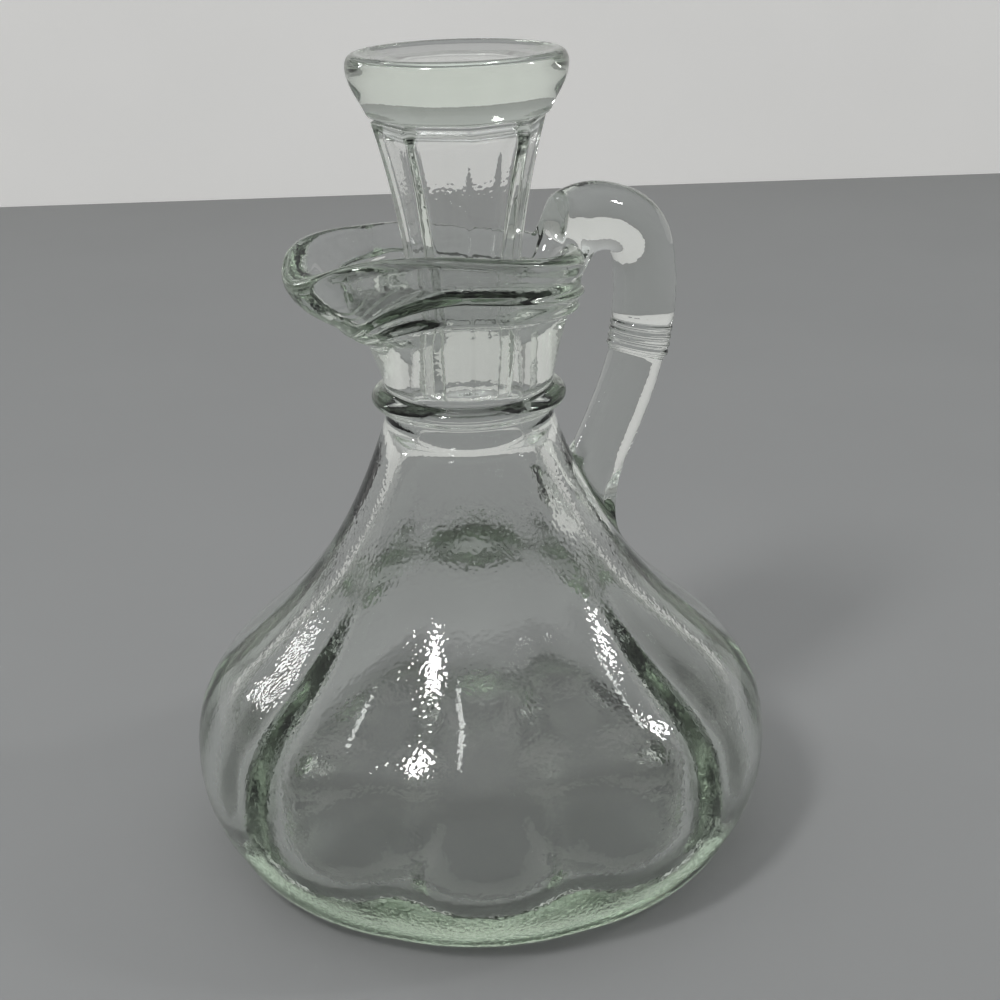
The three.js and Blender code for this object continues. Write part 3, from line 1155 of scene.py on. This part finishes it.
class CRUET_OT_stage(bpy.types.Operator):
    """Set up the floor, the backdrop, the lamps and the camera"""

    bl_idname = "cruet.stage"
    bl_label = "Stage"

    def execute(self, context):
        stage = context.scene.cruet.stage
        self.add_floor(stage)
        self.add_backdrop(stage)
        self.add_light(context.scene, stage)
        self.add_camera(context.scene, stage)
        return {"FINISHED"}

    def add_floor(self, stage):
        bm = bmesh.new()
        bmesh.ops.create_grid(bm, x_segments=1, y_segments=1, size=stage.floor_size / 2)
        shift = Vector((0.0, stage.far_edge - stage.floor_size / 2, -FLOOR_DROP))
        bmesh.ops.translate(bm, verts=bm.verts, vec=shift)
        turned = Matrix.Rotation(stage.camera_azimuth, 3, "Z")
        bmesh.ops.rotate(bm, verts=bm.verts, cent=(0.0, 0.0, 0.0), matrix=turned)
        stage_piece(bm, "studio_floor", matt_paper("studio_floor", stage.floor_colour))

    def add_backdrop(self, stage):
        bm = bmesh.new()
        corners = [
            bm.verts.new((side * stage.floor_size / 2, stage.far_edge, -FLOOR_DROP))
            for side in (-1, 1)
        ]
        foot = bm.edges.new(corners)
        raised = bmesh.ops.extrude_edge_only(bm, edges=[foot])
        top = [part for part in raised["geom"] if isinstance(part, bmesh.types.BMVert)]
        bmesh.ops.translate(bm, verts=top, vec=UP * stage.backdrop_height)
        turned = Matrix.Rotation(stage.camera_azimuth, 3, "Z")
        bmesh.ops.rotate(bm, verts=bm.verts, cent=(0.0, 0.0, 0.0), matrix=turned)
        paper = matt_paper("backdrop", stage.backdrop_colour, stage.backdrop_glow)
        stage_piece(bm, "backdrop", paper)

    def add_light(self, scene, stage):
        world = bpy.data.worlds.new("studio")
        shader = Shader(world)
        place = shader.wire(shader.node("ShaderNodeTexCoord"), "Generated")
        height = shader.wire(shader.node("ShaderNodeSeparateXYZ", None, {"Vector": place}), "Z")
        facing = shader.node(
            "ShaderNodeVectorMath",
            {"operation": "DOT_PRODUCT"},
            {"Vector": place, "Vector_001": heading(stage.camera_azimuth, 0.0)},
        )
        shade = (
            shader.step(height, *SHADE_LOW)
            * (1.0 - shader.step(height, *SHADE_HIGH))
            * shader.step(shader.wire(facing, "Value"), *SHADE_SIDE)
        )
        mixed = shader.node(
            "ShaderNodeMix",
            {"data_type": "RGBA"},
            {
                "Factor_Float": (height * height + HORIZON_SHARE) * (1.0 - shade * stage.shade),
                "A_Color": (*stage.room_colour, 1.0),
                "B_Color": (*stage.ceiling_colour, 1.0),
            },
        )
        glow = shader.wire(mixed, "Result_Color")
        sky = shader.node("ShaderNodeBackground", None, {"Color": glow})
        shader.node("ShaderNodeOutputWorld", None, {"Surface": shader.wire(sky, "Background")})
        scene.world = world
        add_lamp(
            "strip", azimuth=-70.0, elevation=52.0, distance=0.7, width=0.08, height=0.15, power=1.3
        )
        add_lamp(
            "right", azimuth=60.0, elevation=35.0, distance=0.8, width=0.05, height=0.14, power=0.6
        )
        add_lamp(
            "left", azimuth=-150.0, elevation=22.0, distance=0.8, width=0.03, height=0.14, power=0.25
        )
        scene.view_settings.view_transform = "Standard"
        scene.cycles.max_bounces = 12
        scene.cycles.transmission_bounces = 12
        scene.cycles.glossy_bounces = 8
        scene.cycles.diffuse_bounces = 2
        scene.cycles.adaptive_threshold = 0.12
        scene.cycles.use_light_tree = False
        scene.cycles.use_denoising = True

    def add_camera(self, scene, stage):
        data = bpy.data.cameras.new("camera")
        data.lens = stage.lens
        data.sensor_width = SENSOR_WIDTH
        data.clip_start = 0.01
        data.clip_end = 10.0
        camera = bpy.data.objects.new("camera", data)
        scene.collection.objects.link(camera)
        spot_on_floor = heading(stage.camera_azimuth, 0.0) * stage.camera_distance
        turned = Matrix.Rotation(stage.camera_azimuth + stage.camera_yaw, 4, "Z")
        tipped = Matrix.Rotation(math.pi / 2 - stage.camera_pitch, 4, "X")
        rolled = Matrix.Rotation(stage.camera_roll, 4, "Z")
        place = Matrix.Translation(spot_on_floor + UP * stage.camera_height)
        camera.matrix_world = place @ turned @ tipped @ rolled
        scene.camera = camera


# Add-on

class CRUET_PT_sidebar(bpy.types.Panel):
    """Buttons that build the cruet"""

    bl_idname = "CRUET_PT_sidebar"
    bl_label = "Glass Cruet"
    bl_space_type = "VIEW_3D"
    bl_region_type = "UI"
    bl_category = "Cruet"

    def draw(self, context):
        for operator in OPERATORS:
            self.layout.operator(operator.bl_idname)


OPERATORS = (CRUET_OT_bottle, CRUET_OT_stopper, CRUET_OT_stage)
CLASSES = (
    CruetBody,
    CruetNeck,
    CruetRim,
    CruetHandle,
    CruetStopper,
    CruetGlass,
    CruetStage,
    CruetSettings,
    *OPERATORS,
    CRUET_PT_sidebar,
)


def register():
    for cls in CLASSES:
        bpy.utils.register_class(cls)
    bpy.types.Scene.cruet = PointerProperty(type=CruetSettings)


def unregister():
    del bpy.types.Scene.cruet
    for cls in reversed(CLASSES):
        bpy.utils.unregister_class(cls)


def main():
    register()
    bpy.ops.cruet.bottle()
    bpy.ops.cruet.stopper()
    bpy.ops.cruet.stage()


if __name__ == "__main__":
    main()
